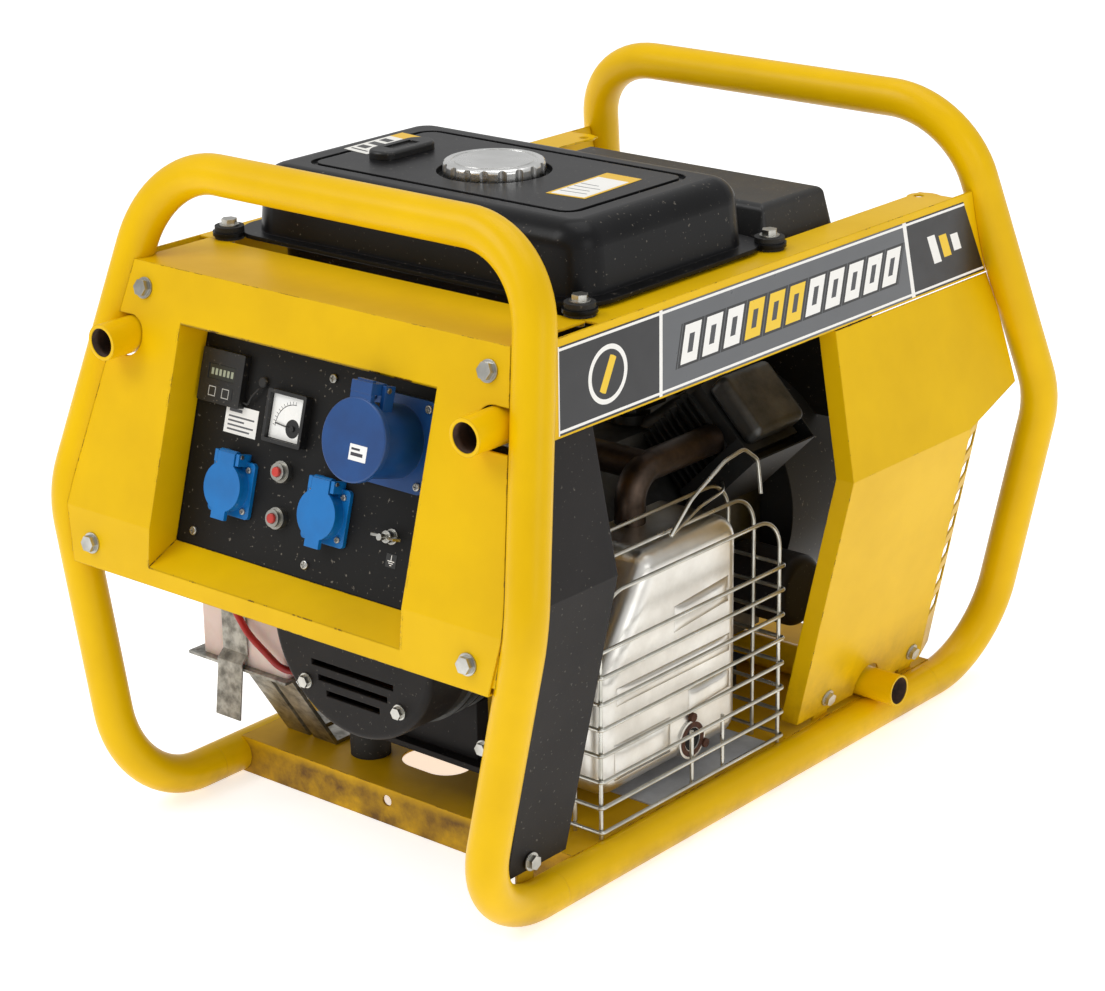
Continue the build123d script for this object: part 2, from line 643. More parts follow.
def hour_meter():
    """Flat counter housing with a display well."""
    width, height = HOURS_SIZE
    case = Pos(0, 0, HOURS_OUT / 2) * Box(width, height, HOURS_OUT)
    case = fillet(case.edges().filter_by(Axis.Z), 1.5)
    case += Pos(0, 0, -8.0) * Box(width - 12, height - 12, 16.0)
    case -= Pos(0, 4.0, HOURS_OUT) * Box(34.0, 14.0, 2.0)
    return on_panel(*HOURS_AT) * case


def earth_stud():
    stud = Pos(0, 0, 3.0) * Cylinder(STUD_R, 30.0)
    stud += Pos(0, 0, 0.8) * Cylinder(7.0, 1.6)
    return on_panel(*STUD_AT) * stud


def wing_nut():
    """Nut with two wings on the earth stud."""
    hub = Pos(0, 0, 5.5) * Cylinder(5.5, 7.0)
    for side in (-1, 1):
        wing = Pos(side * 9.0, 0, 8.5) * Rot(0, -side * 25, 0) * Box(12.0, 2.4, 8.0)
        hub += wing
    hub -= Pos(0, 0, 5.0) * Cylinder(STUD_R + RUN_GAP, 30.0)
    return on_panel(*STUD_AT) * hub


def sensor_boss():
    """Small domed terminal where the counter's pick-up lead enters the panel."""
    boss = Pos(0, 0, 2.0) * Cylinder(5.0, 4.0)
    boss = fillet(boss.edges().group_by(Axis.Z)[-1], 1.8)
    return on_panel(*SENSOR_AT) * (boss + Pos(0, 0, -3.0) * Cylinder(2.5, 6.0))


def sensor_lead():
    """Thin lead from the counter's lower edge round to the terminal."""
    x, s = SENSOR_AT
    hx, hs = HOURS_AT
    points = [
        (hx + HOURS_SIZE[0] / 2 + 0.2, hs - 18.0, 3.0),
        (hx + HOURS_SIZE[0] / 2 + 7.0, hs - 19.0, 3.5),
        (x - 9.0, s - 15.0, 5.0),
        (x - 2.0, s - 7.0, 5.0),
        (x - 0.5, s - 5.4, 2.4),
    ]
    corners = [Vector(px, ps - PANEL_MID_S, out) for px, ps, out in points]
    path = FilletPolyline(*corners, radius=[3.0, 4.5, 2.6])
    lead = sweep(Plane(origin=path @ 0, z_dir=path % 0) * Circle(0.9), path=path)
    return PANEL.location * lead


# ---- side bands and covers -------------------------------------------------------------------
def legs_y(z, inside):
    """y of the leg centre line at height z, less a distance."""
    if z >= KNEE_Z:
        y = KNEE_Y + (TOP_Y - KNEE_Y) * (z - KNEE_Z) / (TOP_BAR_Z - KNEE_Z)
    else:
        y = KNEE_Y + (FOOT_Y - KNEE_Y) * (KNEE_Z - z) / (KNEE_Z - RAIL_Z)
    return y - inside


def side_band():
    """Right band with a top flange that carries the tank and a lip below."""
    outline = [
        (BAND_X - BAND_FLANGE, DECK_Z),
        (BAND_X, DECK_Z),
        (BAND_X, BAND_LOW_Z),
        (BAND_X - BAND_LIP, BAND_LOW_Z),
    ]
    band = front_prism(strip(outline[::-1], SHEET), -KNEE_Y, KNEE_Y)
    ends = [(legs_y(z, 10.0), z) for z in (DECK_Z + 1, BAND_LOW_Z - 1)]
    band &= side_prism([(-y, z) for y, z in ends] + ends[::-1], 0, KNEE_X)
    front_stop = -(TOP_Y - COWL_TOP_DEPTH) + 1.0
    band -= box((0, BAND_X - SHEET), (-KNEE_Y, front_stop), (DECK_Z - 5, DECK_Z + 2))
    band -= box((0, BAND_X - SHEET), (BAND_REAR_Y, KNEE_Y), (DECK_Z - 5, DECK_Z + 2))
    lug = Pos(BAND_X - BAND_FLANGE / 2 - 6, BAND_REAR_Y - 14, DECK_Z - SHEET / 2) * Cylinder(17, SHEET)
    band += lug
    band -= Pos(BAND_X - BAND_FLANGE / 2 - 12, BAND_REAR_Y - 14, DECK_Z) * Cylinder(5, 10)
    for y in (EAR_FRONT_Y, EAR_REAR_Y):
        band -= Pos(EAR_X, y, DECK_Z) * Cylinder(4.4, 10)
    return band - FRONT_CLEAR - REAR_CLEAR


COVER_TOP_Z = BAND_LOW_Z - 1.5
COVER_OUT = [(BAND_X, COVER_TOP_Z), (KNEE_X + 2.0, KNEE_Z), (RAIL_X - 6.0, REAR_COVER_LOW_Z)]
COVER_FRONT = [(91.0, COVER_TOP_Z), (65.0, KNEE_Z), (82.0, REAR_COVER_LOW_Z)]
COVER_REAR = [(KNEE_Y - 138.0, KNEE_Z), (KNEE_Y - 107.0, REAR_COVER_LOW_Z)]
COVER_BOLTS = [(127.0, BASE_Z + 23.0), (278.0, BASE_Z + 23.0)]


def cover_x(z):
    """Outer face of the rear cover at height z, below the fold."""
    run = (KNEE_Z - z) / (KNEE_Z - REAR_COVER_LOW_Z)
    return COVER_OUT[1][0] + (COVER_OUT[2][0] - COVER_OUT[1][0]) * run


def rear_cover():
    """Right rear cover: kinked sheet, front return, slotted rear corner, notch for the axle tube."""
    sheet = front_prism(strip(COVER_OUT[::-1], SHEET), 0, KNEE_Y)
    upper_rear = [(KNEE_Y - 45.0, KNEE_Z + 25.0), (KNEE_Y - 47.0, COVER_TOP_Z)]
    shape = COVER_FRONT[::-1] + upper_rear[::-1] + COVER_REAR
    sheet &= side_prism(shape, 0, KNEE_X + 20)
    inner = [(x - REAR_COVER_RETURN, z) for x, z in COVER_OUT]
    band = front_prism(COVER_OUT + inner[::-1], 0, KNEE_Y)
    edge = side_prism(COVER_FRONT + [(y + SHEET, z) for y, z in COVER_FRONT[::-1]], 0, KNEE_X + 20)
    sheet += band & edge
    sheet += rear_corner()
    notch_r = AXLE_OD / 2 + 4.0
    axle_z = BASE_Z + AXLE_OD / 2
    sheet -= rod(notch_r, (RAIL_X - 40, AXLE_Y, axle_z), (KNEE_X, AXLE_Y, axle_z))
    sheet -= box((RAIL_X - 40, KNEE_X), (AXLE_Y - notch_r, AXLE_Y + notch_r), (0, axle_z))
    for y, z in COVER_BOLTS:
        sheet -= rod(5.0, (cover_x(z) - 10, y, z), (cover_x(z) + 10, y, z))
    return sheet - REAR_CLEAR


def rear_corner():
    """Corner strip behind the lower half, turned inwards and slotted for the fan."""
    turn_x = -18.0
    turn_y = 46.0
    (top_y, top_z), (low_y, low_z) = COVER_REAR
    top = (COVER_OUT[1][0] - 0.6, top_y - 0.5, top_z)
    low = (COVER_OUT[2][0] - 0.6, low_y - 0.5, low_z)
    low_turned = (low[0] + turn_x, low[1] + turn_y, low[2])
    corners = [top, low, low_turned, (top[0] + turn_x, top[1] + turn_y, top[2])]
    face = Face(Wire.make_polygon(corners))
    inward = face.normal_at()
    if inward.X > 0:
        inward = inward * -1
    plate = extrude(face, SHEET, dir=inward)
    for row in range(7):
        z = top_z - 24.0 - 32.0 * row
        y = top_y + (low_y - top_y) * (top_z - z) / (top_z - low_z)
        plate -= box((RAIL_X - 80, KNEE_X + 20), (y + 5, y + turn_y - 6), (z - 9, z + 9))
    return plate


def cover_bolts():
    """Four bolts that hold the rear covers to their rail brackets."""
    bolts = []
    slope = math.degrees(math.atan2(COVER_OUT[1][0] - COVER_OUT[2][0], KNEE_Z - REAR_COVER_LOW_Z))
    for y, z in COVER_BOLTS:
        right = Pos(cover_x(z), y, z) * Rot(0, 90 + slope, 0) * bolt(7.0, 5.0, 4.0, 10.0)
        bolts += [right, mirrored(right)]
    return bolts


def cover_brackets():
    """Four upright tabs welded on the rails, one behind each cover bolt."""
    tabs = []
    for y, z in COVER_BOLTS:
        x = cover_x(z) - SHEET
        low = (x - 9.0, BASE_Z)
        shape = [low, (x - 6.0, low[1]), (x + 1.2, z + 14.0), (x - 1.8, z + 14.0)]
        tab = front_prism(shape, y - 12, y + 12)
        tab -= rod(TUBE_R, (RAIL_X, y - 20, RAIL_Z), (RAIL_X, y + 20, RAIL_Z))
        cover_side = [(cover_x(q) - SHEET - 0.2, q) for q in (30, 100)]
        tab -= front_prism(cover_side + [(KNEE_X, 100), (KNEE_X, 30)], y - 20, y + 20)
        tab -= rod(6.5, (x - 20, y, z), (x + 20, y, z))
        tabs += [tab, mirrored(tab)]
    return tabs


SHIELD_OUT = [(BAND_X - 5.0, BAND_LOW_Z - 2.0), (KNEE_X - 23.0, KNEE_Z), (RAIL_X - 7.0, BASE_Z + 10.0)]
SHIELD_REAR = [
    (-(TOP_Y - 55.0), BAND_LOW_Z - 2.0),
    (-(TOP_Y - 61.0), KNEE_Z),
    (-(TOP_Y - 44.0), BASE_Z + 10.0),
]
SHIELD_BOLT = (-(TOP_Y + 9.0), BASE_Z + 20.0)


def heat_shield():
    """Black kinked plate between cowl and silencer, with a flange across its front edge."""
    sheet = front_prism(strip(SHIELD_OUT[::-1], SHEET), SHIELD_FRONT_Y, 0)
    front = [(SHIELD_FRONT_Y, z) for _, z in SHIELD_OUT]
    sheet &= side_prism(front[::-1] + SHIELD_REAR, 0, KNEE_X)
    inner = [(x - SHIELD_FLANGE, z) for x, z in SHIELD_OUT]
    sheet += front_prism(SHIELD_OUT + inner[::-1], SHIELD_FRONT_Y, SHIELD_FRONT_Y + SHEET)
    sheet -= rod(4.8, (RAIL_X - 30, *SHIELD_BOLT), (KNEE_X, *SHIELD_BOLT))
    sheet -= rod(4.8, (RAIL_X - 32, SHIELD_FRONT_Y - 5, 170), (RAIL_X - 32, SHIELD_FRONT_Y + 5, 170))
    return sheet - FRONT_CLEAR


def shield_bracket():
    """Upright tab welded on the right rail for the heat shield."""
    y, z = SHIELD_BOLT
    x = SHIELD_OUT[2][0] - SHEET - 0.6
    tab = box((x - 3.0, x), (y - 11, y + 11), (RAIL_Z, z + 13))
    tab -= FRONT_BAR
    tab -= rod(TUBE_R, (RAIL_X, y - 20, RAIL_Z), (RAIL_X, 0, RAIL_Z))
    return tab - rod(4.3, (x - 10, y, z), (x + 10, y, z))


def shield_bolts():
    y, z = SHIELD_BOLT
    side = Pos(SHIELD_OUT[2][0] + 4.0, y, z) * Rot(0, 90, 0) * bolt(7.0, 5.0, 4.0, 12.0)
    front = Pos(RAIL_X - 32, SHIELD_FRONT_Y, 170) * Rot(90, 0, 0) * bolt(6.0, 4.5, 4.0, 8.0)
    return [side, front]


# ---- fuel tank --------------------------------------------------------------------------------
TANK_SEAT_Z = DECK_Z + GROMMET_UNDER
TANK_BASE_Z = TANK_SEAT_Z + TANK_FLANGE_T
TANK_HALF = EAR_X - 9.0
TANK_MID_Y = TANK_FRONT_Y + TANK_LEN / 2
TANK_TAPER = 5.0
CAP_RECESS = 6.0
CAP_SEAT_Z = TANK_TOP_Z - CAP_RECESS + 1.0
EARS = [(side * EAR_X, y) for side in (-1, 1) for y in (EAR_FRONT_Y, EAR_REAR_Y)]


def fuel_tank():
    """Hollow tank: tapered upper shell, flange with four ears, shallow lower shell, filler neck."""
    mid = Pos(0, TANK_MID_Y, 0)
    plan = RectangleRounded(2 * TANK_HALF, TANK_LEN, 36)
    upper = extrude(plan, TANK_TOP_Z - TANK_BASE_Z, taper=TANK_TAPER)
    upper = fillet(upper.edges().group_by(Axis.Z)[-1], 24)
    flange = extrude(RectangleRounded(2 * TANK_HALF + 30, TANK_LEN + 26, 40), TANK_FLANGE_T)
    lower = extrude(RectangleRounded(2 * TANK_HALF - 44, TANK_LEN - 30, 30), -TANK_LOWER_H)
    tank = mid * (Pos(0, 0, TANK_BASE_Z) * upper + Pos(0, 0, TANK_SEAT_Z) * flange)
    tank += mid * Pos(0, 0, TANK_SEAT_Z + 0.5) * lower
    for x, y in EARS:
        tank += Pos(x, y, TANK_SEAT_Z + TANK_FLANGE_T / 2) * Cylinder(16, TANK_FLANGE_T)
    inner_w = 2 * TANK_HALF - 44 - 2 * TANK_WALL
    inner_l = TANK_LEN - 30 - 2 * TANK_WALL
    hollow_top = TANK_TOP_Z - CAP_RECESS - TANK_WALL - TANK_SEAT_Z
    hollow = extrude(RectangleRounded(inner_w, inner_l, 26), hollow_top + TANK_LOWER_H - TANK_WALL)
    tank -= mid * Pos(0, 0, TANK_SEAT_Z - TANK_LOWER_H + TANK_WALL) * hollow
    groove = extrude(RectangleRounded(2 * TANK_HALF - 84, TANK_LEN - 76, 18), 3.0)
    groove -= extrude(RectangleRounded(2 * TANK_HALF - 96, TANK_LEN - 88, 13), 3.0)
    tank -= mid * Pos(0, 0, TANK_TOP_Z - 2.5) * groove
    tank -= Pos(0, CAP_Y, TANK_TOP_Z) * Cylinder(CAP_R + 6, 2 * CAP_RECESS)
    tank += Pos(0, CAP_Y, TANK_TOP_Z - CAP_RECESS + 1.0) * Cylinder(NECK_R, 12.0)
    tank -= Pos(0, CAP_Y, TANK_TOP_Z) * Cylinder(NECK_R - 4, 50)
    tank -= Pos(GAUGE_X, CAP_Y, TANK_TOP_Z) * Cylinder(8.3, 40)
    for x, y in EARS:
        tank -= Pos(x, y, TANK_SEAT_Z) * Cylinder(8.2, 20)
    tank -= Pos(*TAP_AT, TANK_SEAT_Z - TANK_LOWER_H) * Cylinder(6.2, 20)
    return tank


def tank_grommets():
    """Rubber spools in the tank ears, seated on the side flanges."""
    grommets = []
    for x, y in EARS:
        low = Pos(x, y, DECK_Z + GROMMET_UNDER / 2) * Cylinder(GROMMET_R, GROMMET_UNDER)
        neck = Pos(x, y, TANK_SEAT_Z + TANK_FLANGE_T / 2) * Cylinder(8.0, TANK_FLANGE_T)
        top = Pos(x, y, TANK_BASE_Z + 2.5) * Cylinder(GROMMET_R, 5.0)
        grommets.append(low + neck + top - Pos(x, y, TANK_SEAT_Z) * Cylinder(4.2, 40))
    return grommets


def tank_bolts():
    return [Pos(x, y, TANK_BASE_Z + 5.0) * bolt(7.5, 5.0, 4.0, 22.0) for x, y in EARS]


def fuel_cap():
    """Screw cap with a scalloped rim, hollow over the filler neck."""
    cap = Pos(0, 0, CAP_H / 2) * Cylinder(CAP_R, CAP_H)
    cap = fillet(cap.edges().group_by(Axis.Z)[-1], 4.0)
    for index in range(18):
        angle = math.radians(20 * index)
        cap -= Pos(51.5 * math.cos(angle), 51.5 * math.sin(angle), 0) * Cylinder(5.5, 60)
    cap -= Cylinder(NECK_R + 1.5, 2 * (CAP_H - 3.5))
    cap -= Pos(0, 0, CAP_H) * (Cylinder(40, 1.6) - Cylinder(37, 1.6))
    return Pos(0, CAP_Y, CAP_SEAT_Z) * cap


def level_gauge():
    """Capsule housing of the fuel gauge, with a window well and a float stem in the tank."""
    body = extrude(SlotOverall(76, 32), 8.0)
    body = fillet(body.edges().group_by(Axis.Z)[-1], 3.0)
    body -= Pos(0, 0, 8.0) * Box(36, 14, 4)
    stem = Pos(0, 0, -14.0) * Cylinder(8.0, 28.0)
    return Pos(GAUGE_X, CAP_Y, TANK_TOP_Z) * Rot(0, 0, 90) * (body + stem)


TAP_AT = (-140.0, -60.0)
TAP_TOP_Z = TANK_SEAT_Z - TANK_LOWER_H
TAP_AXIS_Z = TAP_TOP_Z - 15.0


def fuel_tap():
    """Tap screwed into the tank's floor, with a sediment bowl and a side outlet."""
    x, y = TAP_AT
    body = Pos(x, y, TAP_TOP_Z - 4.0) * Cylinder(12, 8)
    body += Pos(x, y, TAP_TOP_Z - 16.0) * Cylinder(9, 18)
    body += Pos(x, y, TAP_TOP_Z - 34.0) * Cylinder(13, 20)
    body += Pos(x, y, TAP_TOP_Z) * Cylinder(6, 12)
    body += rod(3.5, (x, y, TAP_AXIS_Z), (x, y + 24, TAP_AXIS_Z))
    body += rod(8.0, (x - 12, y, TAP_AXIS_Z), (x, y, TAP_AXIS_Z))
    return body - rod(3.0, (x - 20, y, TAP_AXIS_Z), (x - 4, y, TAP_AXIS_Z))


def tap_lever():
    """Lever with its spindle, lying down when the tap is open."""
    x, y = TAP_AT
    spindle = rod(3.0 - RUN_GAP, (x - 16, y, TAP_AXIS_Z), (x - 4.5, y, TAP_AXIS_Z))
    hub = rod(6.5, (x - 17, y, TAP_AXIS_Z), (x - 12.4, y, TAP_AXIS_Z))
    arm = box((x - 17, x - 13), (y - 3.5, y + 3.5), (TAP_AXIS_Z - 28, TAP_AXIS_Z))
    return spindle + hub + arm


def fuel_hose():
    """Hose from the tap down to the carburettor inlet."""
    x, y = TAP_AT
    points = [
        (x, y + 24.6, TAP_AXIS_Z),
        (x, y + 60, TAP_AXIS_Z - 4),
        (x + 20, y + 106, TAP_AXIS_Z - 55),
        (-CARB_HALF - 46.0, HOSE_STUB_Y, HOSE_STUB_Z),
        (-CARB_HALF - 10.4, HOSE_STUB_Y, HOSE_STUB_Z),
    ]
    return bent_rod(points, [22.0, 30.0, 16.0], 4.5)


# ---- alternator --------------------------------------------------------------------------------
def turned(r_out, r_in, y0, y1):
    """Ring about the crank axis; a disc when r_in is 0."""
    ring = rod(r_out, (0, y0, CRANK_Z), (0, y1, CRANK_Z))
    if r_in > 0:
        ring -= rod(r_in, (0, y0 - 1, CRANK_Z), (0, y1 + 1, CRANK_Z))
    return ring


STATOR_Y = ALT_FRONT_Y + END_COVER_LEN
ADAPTER_Y = STATOR_Y + STATOR_LEN
BEARING_R = 24.0
BEARING_Y = (ALT_FRONT_Y + 12.0, ALT_FRONT_Y + 28.0)
SHAFT_FRONT_Y = ALT_FRONT_Y + 9.0


def end_cover():
    """Dished end cover with three rows of cooling slots, a bearing seat and three spokes."""
    outer = turned(ALT_R, 0, ALT_FRONT_Y, STATOR_Y)
    outer = fillet(outer.edges().group_by(Axis.Y)[0], 7.0)
    cover = outer - turned(ALT_R - 4.0, 0, ALT_FRONT_Y + 4.0, STATOR_Y + 1)
    cover += turned(BEARING_R + 6.0, BEARING_R, ALT_FRONT_Y + 3.0, BEARING_Y[1] + 4.0)
    for row, half in ((-38.0, 52.0), (-52.0, 44.0), (-66.0, 34.0)):
        z = CRANK_Z + row
        cover -= box((-half, half), (ALT_FRONT_Y - 1, ALT_FRONT_Y + 5), (z - 3, z + 3))
    for angle in (45, 135, 225, 315):
        x, z = END_BOLT_R * math.cos(math.radians(angle)), END_BOLT_R * math.sin(math.radians(angle))
        boss = rod(7.0, (x, ALT_FRONT_Y + 2, CRANK_Z + z), (x, STATOR_Y, CRANK_Z + z))
        cover += boss
    for angle in (45, 135, 225, 315):
        x, z = END_BOLT_R * math.cos(math.radians(angle)), END_BOLT_R * math.sin(math.radians(angle))
        cover -= rod(3.2, (x, ALT_FRONT_Y - 1, CRANK_Z + z), (x, STATOR_Y + 1, CRANK_Z + z))
    return cover


END_BOLT_R = 84.0


def end_bolts():
    bolts = []
    for angle in (45, 135, 225, 315):
        x, z = END_BOLT_R * math.cos(math.radians(angle)), END_BOLT_R * math.sin(math.radians(angle))
        seat = Pos(x, ALT_FRONT_Y, CRANK_Z + z) * Rot(90, 0, 0)
        bolts.append(seat * bolt(6.0, 5.0, 3.0, END_COVER_LEN - 2))
    return bolts


def end_bearing():
    return turned(BEARING_R, SHAFT_R + RUN_GAP, *BEARING_Y)


def alternator_body():
    """Finned housing round the stator."""
    body = turned(ALT_R, ALT_R - 4.0, STATOR_Y, ADAPTER_Y)
    for index in range(9):
        y = STATOR_Y + 12.0 + index * (STATOR_LEN - 28.0) / 8
        body += turned(ALT_R + 3.0, ALT_R - 1.0, y, y + 4.0)
    return body


def stator():
    """Laminated core with winding heads at both ends."""
    inner = ROTOR_R + AIR_GAP
    core = turned(ALT_R - 4.0, inner, STATOR_Y + 20.0, ADAPTER_Y - 20.0)
    for y0, y1 in ((STATOR_Y + 2.0, STATOR_Y + 20.0), (ADAPTER_Y - 20.0, ADAPTER_Y - 2.0)):
        core += turned(ALT_R - 12.0, inner + 6.0, y0, y1)
    return core


def rotor():
    """Rotor core and two end windings, pressed on the crankshaft's long tail."""
    core = turned(ROTOR_R, SHAFT_R, STATOR_Y + 20.0, ADAPTER_Y - 20.0)
    for y0, y1 in ((STATOR_Y + 4.0, STATOR_Y + 20.0), (ADAPTER_Y - 20.0, ADAPTER_Y - 4.0)):
        core += turned(ROTOR_R - 8.0, SHAFT_R, y0, y1)
    return core


def alternator_fan():
    """Disc fan with straight blades behind the rotor."""
    hub_y = ADAPTER_Y + 14.0
    fan = turned(ALT_R - 14.0, SHAFT_R, hub_y, hub_y + 3.0) + turned(28.0, SHAFT_R, hub_y, hub_y + 22.0)
    blade = box((40.0, ALT_R - 16.0), (hub_y + 1.0, hub_y + 22.0), (CRANK_Z - 1.2, CRANK_Z + 1.2))
    centre = Pos(0, 0, CRANK_Z)
    for index in range(12):
        fan += centre * Rot(0, 30 * index, 0) * Pos(0, 0, -CRANK_Z) * blade
    return fan


def adapter():
    """Bell housing between alternator and engine, with air windows round its side."""
    bell = turned(ALT_R - 4.5, ALT_R - 11.0, ADAPTER_Y, ENGINE_FRONT_Y)
    bell += turned(ALT_R - 6.0, 36.0, ENGINE_FRONT_Y - 8.0, ENGINE_FRONT_Y)
    for index in range(6):
        span_y = (ADAPTER_Y + 18, ENGINE_FRONT_Y - 22)
        window = box((ALT_R - 20, ALT_R + 20), span_y, (CRANK_Z - 24, CRANK_Z + 24))
        bell -= Pos(0, 0, CRANK_Z) * Rot(0, 60 * index + 30, 0) * Pos(0, 0, -CRANK_Z) * window
    return bell


MOUNT_TOP_Z = BASE_Z + MOUNT_H
FOOT_T = 6.0
MOUNT_POINTS = [(side * MOUNT_X, y) for y in (ALT_MOUNT_Y, ENGINE_MOUNT_Y) for side in (-1, 1)]


def rubber_mounts():
    return [
        Pos(x, y, BASE_Z + MOUNT_H / 2) * (Cylinder(MOUNT_R, MOUNT_H) - Cylinder(4.2, MOUNT_H + 2))
        for x, y in MOUNT_POINTS
    ]


def mount_bolts():
    one = bolt(6.5, 5.5, 4.0, MOUNT_H + FOOT_T + 10)
    return [Pos(x, y, MOUNT_TOP_Z + FOOT_T) * one for x, y in MOUNT_POINTS]


def foot_bar(y):
    """Cross bar on two rubber mounts."""
    bar = box((-MOUNT_X - 22, MOUNT_X + 22), (y - 20, y + 20), (MOUNT_TOP_Z, MOUNT_TOP_Z + FOOT_T))
    for side in (-1, 1):
        bar -= Pos(side * MOUNT_X, y, MOUNT_TOP_Z) * Cylinder(4.2, 30)
    return bar


def alternator_foot():
    """Cross bar with a saddle web under the alternator."""
    foot = foot_bar(ALT_MOUNT_Y)
    foot += box((-62, 62), (ALT_MOUNT_Y - 8, ALT_MOUNT_Y + 8), (MOUNT_TOP_Z + FOOT_T, CRANK_Z - 60))
    return foot - turned(ALT_R + 3.0, 0, STATOR_Y - 5, ADAPTER_Y + 5)


def engine_foot():
    """Cross bar with a spacer block under the crankcase."""
    block = box((-70, 70), (ENGINE_MOUNT_Y - 20, ENGINE_MOUNT_Y + 20), (MOUNT_TOP_Z + FOOT_T, CASE_LOW_Z))
    return foot_bar(ENGINE_MOUNT_Y) + block


# ---- engine ---------------------------------------------------------------------------------------
FACET = CYL_START * math.sqrt(2)      # x + height above the crank on the cylinder seats


def crankcase_block(wall):
    """Seven-sided block with 45 degree seats, a wall smaller all round."""
    side = CASE_X - wall
    top = CASE_TOP_Z + 18.0 - wall
    facet = FACET - wall * math.sqrt(2)
    half = [(side, CASE_LOW_Z + wall), (side, CRANK_Z + facet - side), (facet - (top - CRANK_Z), top)]
    outline = half + [(-x, z) for x, z in half[::-1]]
    return front_prism(outline, ENGINE_FRONT_Y + wall, ENGINE_REAR_Y - wall)


def crankcase():
    """Hollow case with a bore under each cylinder and one for the shaft at each end."""
    case = crankcase_block(0.0) - crankcase_block(9.0)
    for side in CYL_Y:
        case -= on_cylinder(side, 0, 0, CYL_START) * Cylinder(CYL_BORE, 40)
    return case - turned(SHAFT_R + RUN_GAP, 0, ENGINE_FRONT_Y - 5, ENGINE_REAR_Y + 5)


CYL_BORE = 34.0


def on_cylinder(side, along_y, across, out):
    """Placement in a cylinder's own frame: X is world Y, Z runs out from the crank."""
    sign = 1 if side == "right" else -1
    tilt = math.radians(CYL_ANGLE)
    plane = Plane(
        origin=(0, CYL_Y[side], CRANK_Z),
        x_dir=(0, sign, 0),
        z_dir=(sign * math.sin(tilt), 0, math.cos(tilt)),
    )
    return plane.location * Pos(along_y, across, out)


def cylinder(side):
    """Finned barrel with its bore."""
    length = CYL_END - CYL_START
    barrel = on_cylinder(side, 0, 0, CYL_START + length / 2) * Box(78, 78, length)
    for index in range(6):
        out = CYL_START + 9.0 + index * 9.0
        fin = on_cylinder(side, 0, 0, out) * Box(2 * CYL_HALF, 2 * CYL_HALF - 4, 2.5)
        barrel += fin
    return barrel - on_cylinder(side, 0, 0, CYL_START + length / 2) * Cylinder(CYL_BORE, length + 2)


def head(side):
    """Finned head with a shallow chamber and a plug hole."""
    block = on_cylinder(side, 0, 0, CYL_END + HEAD_LEN / 2) * Box(82, 82, HEAD_LEN)
    for index in range(3):
        block += on_cylinder(side, 0, 0, CYL_END + 8.0 + index * 9.0) * Box(2 * CYL_HALF, 2 * CYL_HALF, 2.5)
    return block - on_cylinder(side, 0, 0, CYL_END) * Cylinder(CYL_BORE, 24)


def rocker_cover(side):
    cover = on_cylinder(side, 0, 0, CYL_END + HEAD_LEN + ROCKER_LEN / 2) * Box(78, 70, ROCKER_LEN)
    return fillet(cover.edges(), 8.0)


def cylinder_shroud(side):
    """Sheet cowling over the outer flank and front of a cylinder."""
    length = CYL_END + HEAD_LEN - CYL_START
    offset = CYL_HALF + 7.0
    middle = CYL_START + length / 2 + 8.0
    plate = on_cylinder(side, 0, -offset, middle) * Box(2 * CYL_HALF + 8, 1.6, length)
    for end in (-1, 1):
        wing = on_cylinder(side, end * (CYL_HALF + 3.2), 14 - offset, middle) * Box(1.6, 29.6, length)
        plate += wing
    return plate


def crankshaft():
    """Shaft with one throw between two webs, carrying the rotor, fan and flywheel."""
    webs = (ENGINE_FRONT_Y + 55.0, ENGINE_FRONT_Y + 125.0)
    shaft = turned(SHAFT_R, 0, SHAFT_FRONT_Y, webs[0] + 1)
    shaft += turned(SHAFT_R, 0, webs[1] + 13, ENGINE_REAR_Y + 84.0)
    for y in webs:
        shaft += turned(52.0, 0, y, y + 14.0)
    throw = rod(16.0, (0, webs[0] + 5, CRANK_Z + 30), (0, webs[1] + 5, CRANK_Z + 30))
    return shaft + throw


FLYWHEEL_Y = ENGINE_REAR_Y + 18.0


def flywheel():
    """Rim, web and hub with fan blades cast on the rear."""
    wheel = turned(FLYWHEEL_R, SHAFT_R, FLYWHEEL_Y, FLYWHEEL_Y + 20.0)
    wheel -= turned(FLYWHEEL_R - 12.0, 32.0, FLYWHEEL_Y - 1, FLYWHEEL_Y + 10.0)
    wheel += turned(30.0, SHAFT_R, FLYWHEEL_Y, FLYWHEEL_Y + 54.0)
    blade = box((50.0, 106.0), (FLYWHEEL_Y + 19.0, FLYWHEEL_Y + 48.0), (CRANK_Z - 1.5, CRANK_Z + 1.5))
    for index in range(14):
        wheel += Pos(0, 0, CRANK_Z) * Rot(0, 360 / 14 * index, 0) * Pos(0, 0, -CRANK_Z) * blade
    return wheel


BLOWER_Y = ENGINE_REAR_Y + 4.0
BLOWER_HOLE_R = 84.0


def blower_housing():
    """Drum round the flywheel with a back plate on the engine and a round air inlet."""
    drum = turned(BLOWER_R, BLOWER_R - 2.5, BLOWER_Y, BLOWER_Y + BLOWER_LEN)
    drum += turned(BLOWER_R, 40.0, BLOWER_Y, BLOWER_Y + 2.5)
    drum += turned(BLOWER_R, BLOWER_HOLE_R, BLOWER_Y + BLOWER_LEN - 2.5, BLOWER_Y + BLOWER_LEN)
    drum += turned(50.0, 40.0, ENGINE_REAR_Y, BLOWER_Y + 2.5)
    return drum


